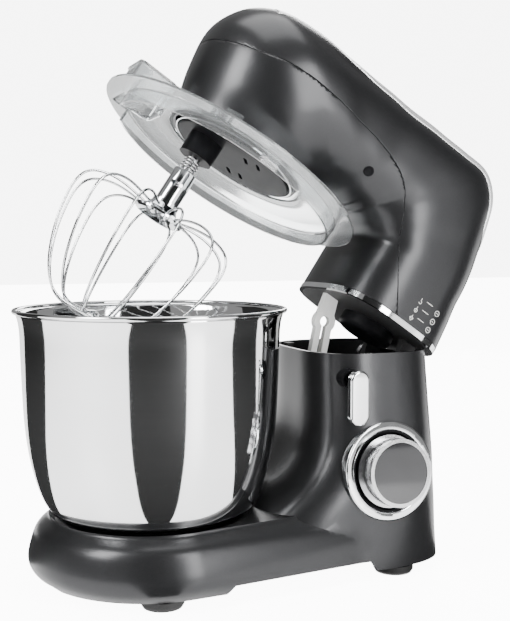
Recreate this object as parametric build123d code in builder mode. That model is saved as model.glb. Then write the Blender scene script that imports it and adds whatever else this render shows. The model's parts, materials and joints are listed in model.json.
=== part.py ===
"""Tilt-head stand mixer with a planetary whisk.

Row frame in millimetres: +Z up, -Y towards the nose of the head, +X the side with the lever and the knob.
The origin is on the bench, on the bowl's axis. Everything on the head is drawn with the head down,
then turned about the hinge, because the mixer is stored with its head tilted back.
"""

import math
import os

from build123d import *

os.makedirs("parts", exist_ok=True)

# ---------------------------------------------------------------- driving dimensions
TILT = 34.0  # head angle in the stored pose, degrees
HINGE_Y = 219.0
HINGE_Z = 168.5
HINGE_PIN_R = 5.0
RUN = 0.06  # radial clearance of every running fit
GAP = 0.4  # clearance between faces that pass each other

WALL = 2.8  # head and base shell thickness
JOINT_LOW_Z = 182.0  # top edge of the column
JOINT_HIGH_Z = 184.0  # bottom edge of the neck
NECK_HALF_X = 66.0
NECK_FRONT_Y = 125.0
NECK_BACK_Y = 235.0
NECK_POWER = 3.3
TRIM_H = 5.0  # bright ring round the neck's bottom edge
TOP_TRIM_HALF_X = 50.0

THROAT_Y = 94.0  # the head's slices swing about this line
THROAT_Z = 236.0
NOSE_BOTTOM_Z = 231.0
# slice angle, drop below the throat line, inner reach, outer reach, half width, squareness
HEAD_SECTIONS = [
    (0, 5, 34.5, 153.5, 59.5, 2.0),
    (0, 0, 33.5, 154.5, 60.5, 2.0),
    (14, 0, 29, 166.5, 71, 2.03),
    (26, 0, 24, 183.5, 75, 2.08),
    (36, 0, 20.5, 175, 76, 2.13),
    (46, 0, 17.5, 151, 74.5, 2.2),
    (58, 0, 15.5, 124, 72, 2.3),
    (74, 0, 13, 111.5, 70, 2.45),
    (90, 0, 12, 108.5, 68, 2.6),
    (108, 0, 13, 114, 67.3, 2.75),
    (122, 0, 14, 127, 67, 2.85),
    (130, 0, 15.5, 141, 66.8, 2.9),
    (136, 0, 16, 150.5, 66.6, 3.0),
    (141, 0, 17, 152, 66.5, 3.0),
    (148, 0, 19, 138, 66.4, 3.1),
    (162, 0, 23.5, 129, 66.2, 3.2),
    (180, 0, 31, 127.5, 66, 3.3),
    (180, 24, 31, 134, 66, 3.3),
    (180, 47, 31, 141, 66, 3.3),
]
HEAD_RUNS = (0, 5, 8, 18)  # the skin is lofted in runs that share these slices
# height, half width, front, back, squareness
COLUMN_SECTIONS = [
    (182, 66, 125, 235, 3.3),
    (160, 68.4, 125, 235.8, 3.3),
    (135, 71.1, 125, 237, 3.3),
    (115, 73.3, 123, 238, 3.35),
    (98, 75.2, 117, 239, 3.4),
    (84, 76.7, 107, 239.7, 3.45),
    (72, 78, 94, 240.3, 3.5),
    (58, 79.5, 78, 241, 3.6),
    (40, 81.5, 64, 241.8, 3.6),
    (24, 83.2, 56, 242.4, 3.6),
    (8, 85, 54, 243, 3.6),
]
# height, front radius, half width where it runs into the column
ARM_SECTIONS = [
    (8, 91, 84.5),
    (14, 97, 84),
    (21, 100, 83),
    (32, 98.5, 82),
    (43, 94.8, 78),
    (50, 89, 71),
    (56, 83.5, 63),
]
SKIRT_Z = 8.0
ARCH_Z = 15.5
COVER_Z = 15.8
COVER_T = 2.5
RECESS_FLOOR_Z = 33.0
ARM_TOP_Z = 56.0

FOOT_R = 16.5
FOOT_H = 7.0
FOOT_NECK_R = 11.5
FRONT_FOOT = (72.0, -14.0)
BACK_FOOT = (67.0, 188.0)

BOWL_WALL = 1.2
BOWL_BASE_Z = 42.0
RIM_R = 110.1
RIM_BEAD_R = 1.9
RIM_Z = 218.6
BOWL_POINTS = [(54, 42), (62, 43.8), (72, 49.5), (82.4, 59.1), (91.5, 76.1), (95.8, 92.7), (99.4, 109.1),
               (102.7, 133.3), (103.9, 165.2), (104.5, 197), (105.3, 211), (108.2, 217.5)]
FOOT_RING_R = 53.0
FOOT_RING_T = 3.0
LUG_COUNT = 3

ORBIT = 27.5  # whisk axis from the planetary axis
HUB_R = 54.0
HUB_Z = 228.0
BOSS_R = 14.5
BEATER_R = 5.0
MODULE_RING = 1.25
RING_TEETH = 60
PLANET_TEETH = 16
MODULE_GEAR = 2.0
GEAR_TEETH = 56
PINION_TEETH = 14
COUNTER_Y = MODULE_GEAR * (GEAR_TEETH + PINION_TEETH) / 2
BACKLASH = 0.3
MOTOR_Y = 179.0
BIG_PULLEY_R = 42.0
SMALL_PULLEY_R = 11.0
BELT_T = 2.0
BELT_W = 8.0

WHISK_LOOPS = 6
WIRE_R = 1.1
WIRE_POINTS = [(16.5, 153.5), (33, 158.3), (54, 157.3), (66.5, 150), (70.3, 139.5), (69.6, 124), (66.6, 108),
               (62.3, 94), (56.3, 80), (48, 67), (37, 57.5), (20, 52)]
WHISK_TIP_Z = 50.0
LOOP_STEP = 2.2

GUARD_R = 118.0
GUARD_Z = 221.4
GUARD_T = 2.0
GUARD_HOLE_R = 63.0
CHUTE = (-30.0, -86.0)
CHUTE_X = 44.0
CHUTE_Y = 38.0
CHUTE_TOP_Z = 250.0

KNOB_Y = 177.0
KNOB_Z = 86.6
KNOB_LEAN = 6.2  # the side wall leans back by this much, degrees
KNOB_WALL_X = 76.4
BEZEL_R = 40.3
BEZEL_HOLE_R = 33.0
BEZEL_PROUD = 4.0
KNOB_R = 27.3
KNOB_SKIRT_R = 29.5
KNOB_REACH = 20.5
SPINDLE_R = 3.0

LATCH_Y = 146.5
LATCH_Z = 162.5
LEVER_W = 16.6
LEVER_L = 44.5
LEVER_T = 6.0
LEVER_X = 77.0
LEVER_SHAFT_R = 4.5
BOLT_R = 3.5
BOLT_HOLE_R = 4.6
HOOK_SLOT = 4.4


# ---------------------------------------------------------------- helpers
def superellipse(half_x, half_y, middle_y, power, count=16):
    points = []
    for i in range(count):
        turn = 2 * math.pi * i / count
        c = math.cos(turn)
        s = math.sin(turn)
        x = half_x * math.copysign(abs(s) ** (2 / power), s)
        y = middle_y + half_y * math.copysign(abs(c) ** (2 / power), c)
        points.append((x, y))
    return points


def oval_face(plane, half_x, low, high, power):
    with BuildSketch(plane) as face:
        with BuildLine():
            Spline(*superellipse(half_x, (high - low) / 2, (high + low) / 2, power), periodic=True)
        make_face()
    return face.sketch


def head_skin(inset):
    """The head as one solid, drawn with the head down. An inset copy runs past both open ends."""
    last = len(HEAD_SECTIONS) - 1
    faces = []
    for i, (angle, drop, inner, outer, half, power) in enumerate(HEAD_SECTIONS):
        turn = math.radians(angle)
        past = 2.0 if inset > 0 and i in (0, last) else 0.0
        lean = (0, -math.sin(turn), -math.cos(turn))
        plane = Plane((0, THROAT_Y, THROAT_Z - drop - past), x_dir=(1, 0, 0), z_dir=lean)
        faces.append(oval_face(plane, half - inset, inner + inset, outer - inset, power))
    with BuildPart() as skin:
        for first, final in zip(HEAD_RUNS, HEAD_RUNS[1:]):
            with BuildPart(mode=Mode.PRIVATE) as run:
                for face in faces[first:final + 1]:
                    add(face)
                loft()
            add(run.part)
    return skin.part


def column_skin(inset):
    with BuildPart() as skin:
        last = len(COLUMN_SECTIONS) - 1
        for i, (z, half, front, back, power) in enumerate(COLUMN_SECTIONS):
            past = 2.0 if inset > 0 and i == 0 else 0.0
            past = -2.0 if inset > 0 and i == last else past
            add(oval_face(Plane.XY.offset(z + past), half - inset, front + inset, back - inset, power))
        loft()
    return skin.part


def arm_skin(inset):
    with BuildPart() as skin:
        last = len(ARM_SECTIONS) - 1
        for i, (z, front_r, half) in enumerate(ARM_SECTIONS):
            past = -2.0 if inset > 0 and i == 0 else 0.0
            past = -inset if inset > 0 and i == last else past
            with BuildSketch(Plane.XY.offset(z + past)):
                Circle(front_r - inset)
                with Locations((half - 30, 150), (30 - half, 150)):
                    Circle(30 - inset)
                make_hull()
        loft()
    return skin.part


def turned(points):
    """A solid of revolution about the bowl's axis from (radius, height) points."""
    with BuildPart() as body:
        with BuildSketch(Plane.XZ):
            with BuildLine():
                Polyline(*points, close=True)
            make_face()
        revolve(axis=Axis.Z)
    return body.part


def tooth_outline(module, teeth, tip_add, root_sub, slack, first_angle):
    """Involute outline, 20 degree pressure angle, with one tooth centred on first_angle (degrees)."""
    pitch_r = module * teeth / 2
    base_r = pitch_r * math.cos(math.radians(20))
    involute_20 = math.tan(math.radians(20)) - math.radians(20)
    low_r = max(base_r, pitch_r - root_sub)
    high_r = pitch_r + tip_add
    flank = []
    for i in range(5):
        r = low_r + (high_r - low_r) * i / 4
        lean = math.acos(min(1.0, base_r / r))
        half = math.pi / (2 * teeth) - slack / (2 * pitch_r) + involute_20 - (math.tan(lean) - lean)
        flank.append((r, half))
    flank.insert(0, (pitch_r - root_sub, flank[0][1]))
    points = []
    for tooth in range(teeth):
        middle = math.radians(first_angle) + 2 * math.pi * tooth / teeth
        for r, half in flank:
            points.append((r * math.cos(middle - half), r * math.sin(middle - half)))
        for r, half in reversed(flank):
            points.append((r * math.cos(middle + half), r * math.sin(middle + half)))
    kept = [points[0]]
    for point in points[1:]:
        if math.dist(point, kept[-1]) > 0.02:
            kept.append(point)
    return kept


def tooth_face(height, centre, outline):
    with BuildSketch(Plane.XY.offset(height)) as face:
        with BuildLine():
            Polyline(*[(x + centre[0], y + centre[1]) for x, y in outline], close=True)
        make_face()
    return face.sketch


def raised(shape):
    """Turns what was drawn with the head down into the stored pose, nose up."""
    return shape.rotate(Axis((0, HINGE_Y, HINGE_Z), (1, 0, 0)), -TILT)


def to_head(y, z):
    """Where a fixed point of the base lies on the head once the head is down again."""
    turn = math.radians(TILT)
    dy = y - HINGE_Y
    dz = z - HINGE_Z
    return (HINGE_Y + dy * math.cos(turn) - dz * math.sin(turn), HINGE_Z + dy * math.sin(turn) + dz * math.cos(turn))


HEAD_OUT = head_skin(0)
HEAD_IN = head_skin(WALL)
COLUMN_OUT = column_skin(0)
COLUMN_IN = column_skin(WALL)
ARM_OUT = arm_skin(0)
ARM_IN = arm_skin(WALL)
KNOB_PLANE = Plane((KNOB_WALL_X, KNOB_Y, KNOB_Z), x_dir=(0, 1, 0),
                   z_dir=(math.cos(math.radians(KNOB_LEAN)), 0, math.sin(math.radians(KNOB_LEAN))))
SHUT_LINE = [(-110, 291), (-47, 292), (-25, 297), (0, 298.3), (25, 297.8), (50, 296), (72, 295.5), (90, 293),
             (106, 287.5), (119, 278.5), (129, 266), (136, 251), (143, 237), (154, 216), (167, 195.5), (175, 182)]
FEET = [(FRONT_FOOT[0], FRONT_FOOT[1]), (-FRONT_FOOT[0], FRONT_FOOT[1]), (BACK_FOOT[0], BACK_FOOT[1]),
        (-BACK_FOOT[0], BACK_FOOT[1])]
RECESS = [(0, RECESS_FLOOR_Z), (63, RECESS_FLOOR_Z), (63, 41), (71, 43.6), (79, 49), (81.5, 55), (84.6, 57.6),
          (88, 63), (94.5, 76), (98.6, 92), (102.5, 109), (106, 133), (107.5, 165), (107.5, 200), (0, 200)]
RECESS_SKIN = [(0, RECESS_FLOOR_Z - WALL), (65.8, RECESS_FLOOR_Z - WALL), (65.8, 38.4), (73, 41), (82, 46.5),
               (85.5, 54), (91.5, 62), (97.5, 75), (101.6, 91), (105.5, 108), (109, 133), (110.5, 165),
               (110.5, 200), (0, 200)]
RECESS_SOLID = turned(RECESS)
RECESS_SKIN_SOLID = turned(RECESS_SKIN)


# ---------------------------------------------------------------- base
with BuildPart() as base_housing:
    add(COLUMN_OUT)
    add(ARM_OUT)
    add((COLUMN_IN + ARM_IN) - RECESS_SKIN_SOLID, mode=Mode.SUBTRACT)
    add(RECESS_SOLID, mode=Mode.SUBTRACT)
    with BuildSketch(Plane.YZ):
        with BuildLine():
            Polyline((26, 0), (36, ARCH_Z), (158, ARCH_Z), (168, 0), close=True)
        make_face()
    extrude(amount=120, both=True, mode=Mode.SUBTRACT)
    with BuildSketch(Plane.XZ.offset(60)):
        with BuildLine():
            Polyline((-46, 0), (-34, 12), (34, 12), (46, 0), close=True)
        make_face()
    extrude(amount=60, mode=Mode.SUBTRACT)
    with Locations((0, 234, 182)):
        Box(108, 16, 15, mode=Mode.SUBTRACT)
    with BuildSketch(KNOB_PLANE.offset(-12)):
        Circle(BEZEL_R + 0.1)
    extrude(amount=24, mode=Mode.SUBTRACT)
    with BuildSketch(Plane.YZ.offset(55)):
        with Locations((LATCH_Y, LATCH_Z)):
            Circle(8.2)
    extrude(amount=20, mode=Mode.SUBTRACT)
    with BuildSketch(Plane.XZ.offset(-228)):
        with Locations((-42, 28)):
            Circle(8.1)
    extrude(amount=-30, mode=Mode.SUBTRACT)

with BuildPart() as bottom_cover:
    with Locations((0, 80, COVER_Z + COVER_T / 2)):
        Box(260, 400, COVER_T)
    with BuildSketch(Plane.XY.offset(FOOT_H + 2)):
        with Locations(*FEET):
            Circle(FOOT_R + 2.5)
    extrude(amount=COVER_Z - FOOT_H - 2 + 0.5)
    add(column_skin(WALL + 0.3) + arm_skin(WALL + 0.3), mode=Mode.INTERSECT)
    with BuildSketch(Plane.XY.offset(COVER_Z - 1)):
        with Locations((0, 0)):
            for k in range(7):
                with Locations((0, 108 + 6 * k)):
                    SlotOverall(44, 2.6)
    extrude(amount=COVER_T + 2, mode=Mode.SUBTRACT)

with BuildPart() as rubber_feet:
    with BuildSketch():
        with Locations(*FEET):
            Circle(FOOT_R - 1.5)
    extrude(amount=2.5, taper=-30)
    with BuildSketch(Plane.XY.offset(2.5)):
        with Locations(*FEET):
            Circle(FOOT_R)
    extrude(amount=FOOT_H - 2.5)
    with BuildSketch(Plane.XY.offset(FOOT_H)):
        with Locations(*FEET):
            Circle(FOOT_NECK_R)
    extrude(amount=2)
    with BuildSketch():
        with Locations(*FEET):
            Circle(7)
    extrude(amount=1.5, mode=Mode.SUBTRACT)

with BuildPart() as bowl_socket:
    with BuildSketch(Plane.XY.offset(RECESS_FLOOR_Z)):
        Circle(62.5)
        Circle(FOOT_RING_R + 0.7, mode=Mode.SUBTRACT)
    extrude(amount=6.5)
    with BuildSketch(Plane.XY.offset(RECESS_FLOOR_Z)):
        with PolarLocations(56, LUG_COUNT, start_angle=90):
            Rectangle(8, 13)
    extrude(amount=7, mode=Mode.SUBTRACT)
    with BuildSketch(Plane.XY.offset(RECESS_FLOOR_Z)):
        with PolarLocations(56, LUG_COUNT, start_angle=102):
            Rectangle(8, 16)
    extrude(amount=3.6, mode=Mode.SUBTRACT)

with BuildPart() as column_deck:
    with Locations((0, 180, 149.5)):
        Box(160, 130, 3)
    add(column_skin(WALL + 0.3), mode=Mode.INTERSECT)
    with BuildSketch(Plane.XY.offset(147)):
        with Locations((4, 151)):
            RectangleRounded(26, 44, 6)
    extrude(amount=6, mode=Mode.SUBTRACT)
    with BuildSketch(Plane.XY.offset(147)):
        with Locations((-34, 176)):
            SlotOverall(26, 12, rotation=90)
    extrude(amount=6, mode=Mode.SUBTRACT)

with BuildPart() as hinge_bracket:
    for side in (-1, 1):
        with BuildSketch(Plane.YZ.offset(side * 36.5)):
            with BuildLine():
                Polyline((HINGE_Y - 20, 151), (HINGE_Y - 20, 154), (HINGE_Y - 10, HINGE_Z), (HINGE_Y + 10, HINGE_Z),
                         (HINGE_Y + 7, 154), (HINGE_Y + 7, 151), close=True)
            make_face()
            with Locations((HINGE_Y, HINGE_Z)):
                Circle(10)
                Circle(HINGE_PIN_R, mode=Mode.SUBTRACT)
        extrude(amount=2.5, both=True)
    with Locations((0, HINGE_Y - 6.5, 152.5)):
        Box(78, 27, 3)

with BuildPart() as hinge_pin:
    with BuildSketch(Plane.YZ):
        with Locations((HINGE_Y, HINGE_Z)):
            Circle(HINGE_PIN_R)
    extrude(amount=40, both=True)
    for side in (-1, 1):
        with BuildSketch(Plane.YZ.offset(side * 40.5)):
            with Locations((HINGE_Y, HINGE_Z)):
                Circle(HINGE_PIN_R + 2)
        extrude(amount=1, both=True)

with BuildPart() as latch_guide:
    with Locations((33, LATCH_Y, 161.5)):
        Box(16, 20, 21)
    with BuildSketch(Plane.YZ.offset(20)):
        with Locations((LATCH_Y, LATCH_Z)):
            Circle(BOLT_R + RUN)
    extrude(amount=30, mode=Mode.SUBTRACT)

with BuildPart() as deck_buffer:
    with Locations((-30, 136.5, 156.5)):
        Box(12, 9, 11)
    with Locations((-30, 136.5, 172.8)):
        Box(9, 7, 21.6)

with BuildPart() as wire_clip:
    with Locations((52, 168, 161)):
        Box(5, 14, 20)
    for k in range(4):
        with Locations((54.8, 163.5 + 3 * k, 171)):
            Box(1.4, 1.4, 20)

with BuildPart() as lever_bush:
    with BuildSketch(Plane.YZ.offset(58)):
        with Locations((LATCH_Y, LATCH_Z)):
            Circle(8.1)
            Circle(LEVER_SHAFT_R + RUN, mode=Mode.SUBTRACT)
    extrude(amount=7)
    with BuildSketch(Plane.YZ.offset(65)):
        with Locations((LATCH_Y, LATCH_Z)):
            Circle(8.1)
            Circle(6.6, mode=Mode.SUBTRACT)
    extrude(amount=4)

with BuildPart() as knob_bezel:
    with BuildSketch(KNOB_PLANE.offset(-9)):
        Circle(BEZEL_R)
        Circle(BEZEL_HOLE_R, mode=Mode.SUBTRACT)
    extrude(amount=9 + BEZEL_PROUD)
    fillet(knob_bezel.faces().sort_by(Axis((0, 0, 0), KNOB_PLANE.z_dir))[-1].edges(), 1.6)

with BuildPart() as knob_well:
    with BuildSketch(KNOB_PLANE.offset(-9)):
        Circle(BEZEL_HOLE_R)
        Circle(SPINDLE_R + RUN, mode=Mode.SUBTRACT)
    extrude(amount=2.5)
    with BuildSketch(KNOB_PLANE.offset(-6.5)):
        Circle(BEZEL_HOLE_R)
        Circle(BEZEL_HOLE_R - 1.4, mode=Mode.SUBTRACT)
    extrude(amount=9)

with BuildPart() as speed_switch:
    with BuildSketch(KNOB_PLANE.offset(-22)):
        RectangleRounded(24, 24, 2)
        Circle(SPINDLE_R + RUN, mode=Mode.SUBTRACT)
    extrude(amount=13)

with BuildPart() as control_board:
    with BuildSketch(KNOB_PLANE.offset(-24)):
        RectangleRounded(54, 62, 2)
        with Locations((22, 26), (-22, 26), (22, -26), (-22, -26)):
            Circle(1.7, mode=Mode.SUBTRACT)
    extrude(amount=1.6)
    for spot in ((-14, -22, 8, 12), (12, -22, 12, 7), (16, 20, 9, 9)):
        with BuildSketch(KNOB_PLANE.offset(-24)):
            with Locations((spot[0], spot[1])):
                Rectangle(spot[2], spot[3])
        extrude(amount=-8)

with BuildPart() as cord_inlet:
    with BuildSketch(Plane.XZ.offset(-234)):
        with Locations((-42, 28)):
            Circle(8)
            Circle(3.6, mode=Mode.SUBTRACT)
    extrude(amount=-9)
    with BuildSketch(Plane.XZ.offset(-243)):
        with Locations((-42, 28)):
            Circle(10.5)
            Circle(3.6, mode=Mode.SUBTRACT)
    extrude(amount=-2.5)

# ---------------------------------------------------------------- bowl
def wall_inside(points, thickness):
    """The same run of (radius, height) points set in by the wall's thickness."""
    inside = []
    for i, (r, z) in enumerate(points):
        before = points[max(i - 1, 0)]
        after = points[min(i + 1, len(points) - 1)]
        dr = after[0] - before[0]
        dz = after[1] - before[1]
        size = math.hypot(dr, dz)
        inside.append((r - thickness * dz / size, z + thickness * dr / size))
    return inside


BOWL_INSIDE = wall_inside(BOWL_POINTS, BOWL_WALL)
with BuildPart() as bowl:
    with BuildSketch(Plane.XZ):
        with BuildLine():
            outer = Spline(*BOWL_POINTS, tangents=((1, 0), (0.55, 1)))
            inner = Spline(*BOWL_INSIDE, tangents=((1, 0), (0.55, 1)))
            Line(outer @ 1, inner @ 1)
            Polyline(outer @ 0, (0, BOWL_BASE_Z), (0, (inner @ 0).Y), inner @ 0)
        make_face()
    revolve(axis=Axis.Z)
    with BuildSketch(Plane.XZ):
        with Locations((RIM_R, RIM_Z)):
            Circle(RIM_BEAD_R)
    revolve(axis=Axis.Z)

with BuildPart() as bowl_foot:
    with BuildSketch(Plane.XY.offset(RECESS_FLOOR_Z + 0.4)):
        Circle(FOOT_RING_R)
        Circle(FOOT_RING_R - FOOT_RING_T, mode=Mode.SUBTRACT)
    extrude(until=Until.NEXT, target=None, amount=BOWL_BASE_Z - RECESS_FLOOR_Z - 0.4)
    with BuildSketch(Plane.XY.offset(RECESS_FLOOR_Z + 0.6)):
        with PolarLocations(FOOT_RING_R + 1.2, LUG_COUNT, start_angle=90):
            Rectangle(5, 9)
    extrude(amount=2.4)

# ---------------------------------------------------------------- head shell and trim
with BuildPart() as shut_region:
    with BuildSketch(Plane.YZ):
        with BuildLine():
            Polyline(*SHUT_LINE, (300, 150), (300, 420), (-110, 420), close=True)
        make_face()
    extrude(amount=110, both=True)
UPPER_REGION = shut_region.part

with BuildPart() as trim_region:
    with BuildSketch(Plane.YZ):
        with BuildLine():
            Polyline((-58, 322), (-20, 322), (60, 322), (150, 322), (186, 320), (206, 300), (260, 300), (260, 420),
                     (-58, 420), close=True)
        make_face()
    extrude(amount=TOP_TRIM_HALF_X, both=True)
TRIM_REGION = trim_region.part

with BuildPart() as head_shell:
    add(HEAD_OUT)
    add(HEAD_IN, mode=Mode.SUBTRACT)
HEAD_SHELL = head_shell.part

with BuildPart() as head_upper_cover:
    add(HEAD_SHELL)
    add(UPPER_REGION, mode=Mode.INTERSECT)
    add(TRIM_REGION, mode=Mode.SUBTRACT)

with BuildPart() as head_top_trim:
    add(HEAD_SHELL)
    add(TRIM_REGION, mode=Mode.INTERSECT)

with BuildPart() as head_lower_housing:
    add(HEAD_SHELL)
    add(UPPER_REGION.moved(Location((0, 0, -GAP))), mode=Mode.SUBTRACT)
    with BuildSketch(Plane.YZ):
        with Locations((83.6, 271.6)):
            Circle(4.3)
    extrude(amount=80, both=True, mode=Mode.SUBTRACT)

with BuildPart() as side_caps:
    with BuildSketch(Plane.YZ.offset(57)):
        with Locations((83.6, 271.6)):
            Circle(4.2)
    extrude(amount=7.5)
    fillet(side_caps.edges().sort_by(Axis.X)[-1], 1.2)
    mirror(about=Plane.YZ)

with BuildPart() as neck_trim:
    add(oval_face(Plane.XY.offset(JOINT_HIGH_Z), NECK_HALF_X + 0.4, NECK_FRONT_Y - 0.4, NECK_BACK_Y + 0.4, NECK_POWER))
    extrude(amount=TRIM_H - 0.3)
    add(oval_face(Plane.XY.offset(JOINT_HIGH_Z), NECK_HALF_X - WALL, NECK_FRONT_Y + WALL, NECK_BACK_Y - WALL,
                  NECK_POWER))
    extrude(amount=TRIM_H, mode=Mode.SUBTRACT)

with BuildPart() as neck_floor:
    add(oval_face(Plane.XY.offset(JOINT_HIGH_Z), NECK_HALF_X - WALL - 0.15, NECK_FRONT_Y + WALL + 0.15,
                  NECK_BACK_Y - WALL - 0.15, NECK_POWER))
    extrude(amount=3)
    for side in (-1, 1):
        with BuildSketch(Plane.YZ.offset(side * 29.5)):
            with BuildLine():
                Polyline((HINGE_Y - 14, JOINT_HIGH_Z + 1), (HINGE_Y - 9, HINGE_Z), (HINGE_Y + 7, HINGE_Z),
                         (HINGE_Y + 1, JOINT_HIGH_Z + 1), close=True)
            make_face()
            with Locations((HINGE_Y, HINGE_Z)):
                Circle(9)
        extrude(amount=3.7, both=True)
    with BuildSketch(Plane.YZ.offset(-45)):
        with Locations((HINGE_Y, HINGE_Z)):
            Circle(HINGE_PIN_R + RUN)
    extrude(amount=90, mode=Mode.SUBTRACT)
    with Locations((0, MOTOR_Y, JOINT_HIGH_Z + 1.5)):
        Cylinder(7, 8, mode=Mode.SUBTRACT)

with BuildPart() as motor_cap:
    with Locations((0, 186, 178.2)):
        Cylinder(25.5, 11.5)
    fillet(motor_cap.faces().sort_by(Axis.Z)[0].edges(), 5)
    with Locations((0, 186, 181)):
        Cylinder(22.5, 9, mode=Mode.SUBTRACT)

LOWER_LOCK = (LATCH_Y, LATCH_Z)
RAISED_LOCK = to_head(LATCH_Y, LATCH_Z)
with BuildPart() as lock_hook:
    with BuildSketch(Plane.YZ):
        with BuildLine():
            Polyline((134, JOINT_HIGH_Z), (147, JOINT_HIGH_Z), (153, 166), (150, 154), (139, 156), close=True)
        make_face()
        with Locations(LOWER_LOCK):
            Circle(10)
    extrude(amount=3.5, both=True)
    with BuildSketch(Plane.YZ):
        with Locations(LOWER_LOCK, RAISED_LOCK):
            Circle(7.6)
        make_hull()
    extrude(amount=3.5, both=True)
    with BuildSketch(Plane.YZ):
        with Locations(LOWER_LOCK, RAISED_LOCK):
            Circle(HOOK_SLOT / 2)
        make_hull()
    extrude(amount=5, both=True, mode=Mode.SUBTRACT)
    with BuildSketch(Plane.YZ):
        with Locations(LOWER_LOCK, RAISED_LOCK):
            Circle(BOLT_HOLE_R)
    extrude(amount=5, both=True, mode=Mode.SUBTRACT)

with BuildPart() as nose_ring:
    with BuildSketch(Plane.XY.offset(HUB_Z + 1.5)):
        Circle(HUB_R + 1.7)
        Circle(HUB_R + 0.6, mode=Mode.SUBTRACT)
    extrude(amount=13)

# ---------------------------------------------------------------- gearbox and motor, fixed parts
with BuildPart() as gearbox_plate:
    with BuildSketch(Plane.XY.offset(257)):
        Circle(58)
        with Locations((0, 63)):
            RectangleRounded(72, 34, 8)
        with Locations((0, 82)):
            RectangleRounded(14, 27, 6)
        Circle(6 + RUN, mode=Mode.SUBTRACT)
        with Locations((0, COUNTER_Y)):
            Circle(4 + RUN, mode=Mode.SUBTRACT)
        with PolarLocations(48, 5, start_angle=18):
            Circle(5, mode=Mode.SUBTRACT)
    extrude(amount=4)
    with BuildSketch(Plane.XY.offset(261)):
        with Locations((30, 64), (-30, 64), (0, 90.5)):
            Circle(4)
    extrude(amount=23)

with BuildPart() as gearbox_bridge:
    with BuildSketch(Plane.XY.offset(284)):
        with Locations((0, 0)):
            Circle(20)
        with Locations((30, 64), (-30, 64), (0, 90.5)):
            Circle(8)
        make_hull()
        Circle(6 + RUN, mode=Mode.SUBTRACT)
        with Locations((0, COUNTER_Y)):
            Circle(4 + RUN, mode=Mode.SUBTRACT)
    extrude(amount=4)

with BuildPart() as ring_gear:
    with BuildSketch(Plane.XY.offset(246)):
        Circle(46)
    extrude(amount=11)
    add(tooth_face(246, (0, 0), tooth_outline(MODULE_RING, RING_TEETH, 1.5, 1.0, -BACKLASH, -90)))
    extrude(amount=11, mode=Mode.SUBTRACT)

with BuildPart() as motor_stator:
    with BuildSketch(Plane.XY.offset(206)):
        with Locations((0, MOTOR_Y)):
            RectangleRounded(72, 72, 9)
            Circle(21, mode=Mode.SUBTRACT)
    extrude(amount=56)

with BuildPart() as motor_coils:
    for low in (198, 262):
        for side in (-1, 1):
            with BuildSketch(Plane.XY.offset(low)):
                with Locations((side * 27, MOTOR_Y)):
                    RectangleRounded(11, 46, 4)
            extrude(amount=8)

with BuildPart() as motor_bracket:
    for low in (188, 284):
        with BuildSketch(Plane.XY.offset(low)):
            with Locations((0, MOTOR_Y)):
                RectangleRounded(88, 50, 8)
                Circle(4 + RUN, mode=Mode.SUBTRACT)
        extrude(amount=3)
    with BuildSketch(Plane.XY.offset(191)):
        with Locations((40, MOTOR_Y + 18), (-40, MOTOR_Y + 18), (40, MOTOR_Y - 18), (-40, MOTOR_Y - 18)):
            Circle(3.2)
    extrude(amount=93)

with BuildPart() as motor_brushes:
    for side in (-1, 1):
        with Locations((side * 21, MOTOR_Y, 194.9)):
            Box(17, 8, 5)

with BuildPart() as drive_belt:
    with BuildSketch(Plane.XY.offset(294)):
        with Locations((0, COUNTER_Y)):
            Circle(BIG_PULLEY_R + 0.3 + BELT_T)
        with Locations((0, MOTOR_Y)):
            Circle(SMALL_PULLEY_R + 0.3 + BELT_T)
        make_hull()
    extrude(amount=BELT_W)
    with BuildSketch(Plane.XY.offset(294)):
        with Locations((0, COUNTER_Y)):
            Circle(BIG_PULLEY_R + 0.3)
        with Locations((0, MOTOR_Y)):
            Circle(SMALL_PULLEY_R + 0.3)
        make_hull()
    extrude(amount=BELT_W, mode=Mode.SUBTRACT)

# ---------------------------------------------------------------- splash guard
GUARD_PROFILE = [(GUARD_HOLE_R, 231), (GUARD_HOLE_R, 240), (65, 240), (65, 232.6), (98.5, GUARD_Z + 4.6),
                 (102, GUARD_Z + GUARD_T), (GUARD_R, GUARD_Z + GUARD_T), (GUARD_R, GUARD_Z), (101.2, GUARD_Z),
                 (101.2, 211), (99.2, 211), (99.2, GUARD_Z + 1.6), (97.6, GUARD_Z + 2.6), (64, 230.4)]
with BuildPart() as splash_guard:
    add(turned(GUARD_PROFILE))
    with BuildSketch(Plane.XY.offset(224)):
        with Locations(CHUTE):
            RectangleRounded(CHUTE_X, CHUTE_Y, 7)
    extrude(amount=CHUTE_TOP_Z - 224)
    with BuildSketch(Plane.XY.offset(205)):
        with Locations(CHUTE):
            RectangleRounded(CHUTE_X - 2 * GUARD_T, CHUTE_Y - 2 * GUARD_T, 5)
    extrude(amount=60, mode=Mode.SUBTRACT)

CLIP_PROFILE = [(65.2, 233.2), (69, 233.2), (69, 243), (64, 243), (64, 240.4), (65.2, 240.4)]
with BuildPart() as one_clip:
    with BuildSketch(Plane.XZ):
        with BuildLine():
            Polyline(*CLIP_PROFILE, close=True)
        make_face()
    revolve(axis=Axis.Z, revolution_arc=12)

with BuildPart() as guard_clips:
    for turn in (-36, -96, -152):
        add(one_clip.part.rotate(Axis.Z, turn))

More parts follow.
